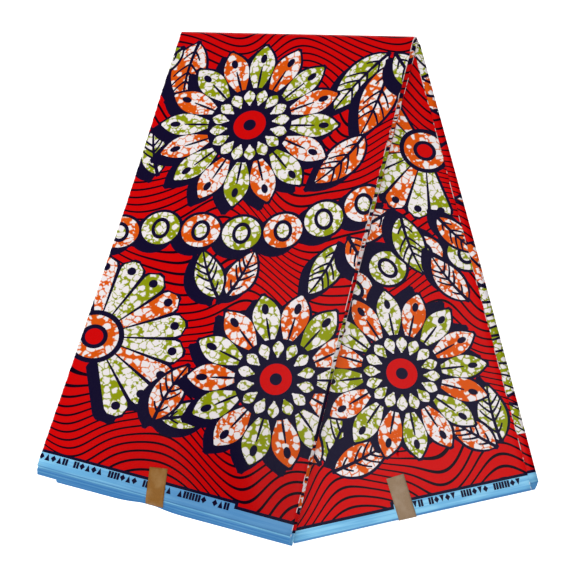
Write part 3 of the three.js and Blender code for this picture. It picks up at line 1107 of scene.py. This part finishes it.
def pleats(name, strip_length, material):
    """The hidden layers: one sheet that runs to and fro, joined by a fold at one side and then the other.
    Its map runs from the upper half's end as far as the fold, and back from the lower half's end."""
    random = np.random.default_rng(11)
    half = np.linspace(0, 1, PLEAT_STATIONS)
    stations = np.concatenate([half, 1 + np.linspace(0, 1, PLEAT_TURN_STATIONS)[1:-1], 2 + half])
    columns = []
    maps = []
    previous = None
    travel = 0  # how far across the cloth the sheet has come
    for number in range(1, INNERMOST_LAYER):
        layer = make_layer(number, random.uniform(-END_SLIP, END_SLIP))
        sway = [
            random.uniform(-0.5, 0.5) * np.sin(stations * random.uniform(2, 5) + random.uniform(0, 6))
            for _ in (0, 1)
        ]
        run = 1 if number % 2 else -1  # to the right, or back to the left
        side_x, side_y = sideways(layer, stations)
        side = np.stack([side_x, side_y, np.zeros_like(stations)], axis=1)
        points = []
        for share in PLEAT_SHARES[::run]:
            x, y, z, _ = layer_place(layer, np.full_like(stations, share), stations)
            inset = (LOOP_OUT + sway[int(share > 0.5)]) * (1 - 2 * share)
            points.append(np.stack([x, y, z], axis=1) + side * inset[:, None])
        fold_starts, fold_ends = layer["front"]["length"], strip_length - layer["back"]["length"]
        v = np.interp(stations, (0, 1, 2, 3), (0, fold_starts, fold_ends, strip_length))
        if previous is not None:
            for degree in LOOP_ANGLES:
                share = (sin(radians(degree)) / sin(radians(LOOP_HALF_TURN)) + 1) / 2
                out = side * (-run * LOOP_OUT * cos(radians(degree)))
                columns.append(previous + (points[0] - previous) * share + out)
                maps.append((travel + share * LOOP_SPAN, v))
            travel += LOOP_SPAN
        for share, place in zip(PLEAT_SHARES, points):
            columns.append(place)
            maps.append((travel + share * CLOTH_ACROSS, v))
        previous = points[-1]
        travel += CLOTH_ACROSS
    cloth_map = np.concatenate([np.stack([np.full_like(v, u), v], axis=1) for u, v in maps])
    faces = grid_faces(len(columns), len(stations))
    made = make_mesh(name, np.concatenate(columns), faces, [0] * len(faces), [material], cloth_map)
    return thicken(made, PLEAT_WALL, 0)


BAND_WIDTH = 21
BAND_WALL = 0.3
BAND_GAP = 0.25  # between the band and the cloth
BAND_FLOOR = 0.5
BAND_COLUMNS = 9
BAND_ROWS = 13  # on the face
BANDS = (
    # name, node, paper, its colour, layer number, start, lean, path past the face's end (past, below)
    ("front_paper", "front_band", "front_kraft_paper", FRONT_KRAFT, 0, (-153.6, -526.2), -5.7,
     ((0.4, 0.0), (3.4, 0.7), (6.2, 3.0), (8.3, 5.8), (8.6, 7.4))),
    ("back_paper", "back_band", "back_kraft_paper_and_reflection", BACK_KRAFT_AND_REFLECTION, INNERMOST_LAYER, (121.7, -532.3), 17.3,
     ((0.2, 0.0), (0.7, 0.3), (0.9, 1.0))),
)


def paper_band(name, layer_number, middle, lean, turn, material):
    """A strip of paper that lies on the face and turns down over the cut ends."""
    layer = make_layer(layer_number)
    row, height = (layer["back"], back_height) if layer_number else (layer["front"], front_height)
    forward = np.array([sin(radians(lean)), -cos(radians(lean))])
    across = np.array([-forward[1], forward[0]])
    end_left, end_right = (np.array(row_place(row, side, 1)) for side in (0, 1))
    outward = np.array([end_right[1] - end_left[1], end_left[0] - end_right[0]])
    points = []
    for share in np.linspace(-0.5, 0.5, BAND_COLUMNS):
        start = middle + across * BAND_WIDTH * share
        reach = (end_left - start) @ outward / (forward @ outward)
        for run in np.linspace(0, reach, BAND_ROWS + 1):
            x, y = start + forward * run
            top = height(layer, x, y) + THICKNESS / 2 + BAND_GAP
            if run < reach:
                points.append((x, y, top))
        for past, below in (*turn, (turn[-1][0], top - BAND_FLOOR)):
            points.append((*(start + forward * (reach + past)), top - below))
    faces = [(a, d, c, b) for a, b, c, d in grid_faces(BAND_COLUMNS, len(points) // BAND_COLUMNS)]
    made = make_mesh(name, np.array(points), faces, [0] * len(faces), [material])
    return thicken(made, BAND_WALL, 1)


# ---- The whole ----
def stand_for(piece, slot, *nodes):
    """Hides the solids that a piece replaces and ties the piece to the root; slot, what it is made of, is not
    used.
    """
    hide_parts(*nodes)
    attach(piece, "root")


def main():
    add_camera()
    add_floor()
    add_lights()
    for make_group in (
        make_wave_lines, make_wax_crackle, make_dye_tone, make_painted_corner_shade, make_fold_wear_and_highlight,
        make_cotton_weave, make_selvedge_streaks,
    ):
        make_group()
    outer, inner = make_layer(0), make_layer(INNERMOST_LAYER)
    dyes = [
        cotton("red_ground", lined_red),
        cotton("navy_dye", plain, NAVY, blotches=0.2),
        cotton("plain_red", plain, RED),
        cotton("orange_wax", crackled, ORANGE, 0.5, blotches=0.14),
        cotton("green_wax", crackled, GREEN, 0.55, blotches=0.14),
        cotton("white_wax", crackled, GREEN, 1.0, blotches=0.14),
        cotton("selvedge_blue", selvedge, outer["length"], blotches=0.1),
    ]
    for name, layer, make_print, tuck, nodes in (
        ("outer_sheet", outer, outer_print, 1, ("front_face", "turn_over", "under_face")),
        ("inner_sheet", inner, inner_print, -1, ("back_face",)),
    ):
        length = layer["length"]
        sheet = printed_sheet(name, layer, make_print(length), dyes, tuck)
        stand_for(sheet, "printed_cotton", *nodes)

    # The hidden layers get neither the painted corner shade nor the paler folded edges.
    edges = cotton("fold_edges", hidden_print, outer["length"], blotches=0.12, painted_shade=0, paler=False)
    stack = pleats("hidden_pleats", outer["length"], edges)
    stand_for(stack, "layered_cotton", "front_layers", "back_layers")

    for name, node, paper, colour, number, middle, lean, turn in BANDS:
        band = paper_band(name, number, middle, lean, turn, kraft_paper(paper, colour))
        stand_for(band, "kraft_paper", node)


main()
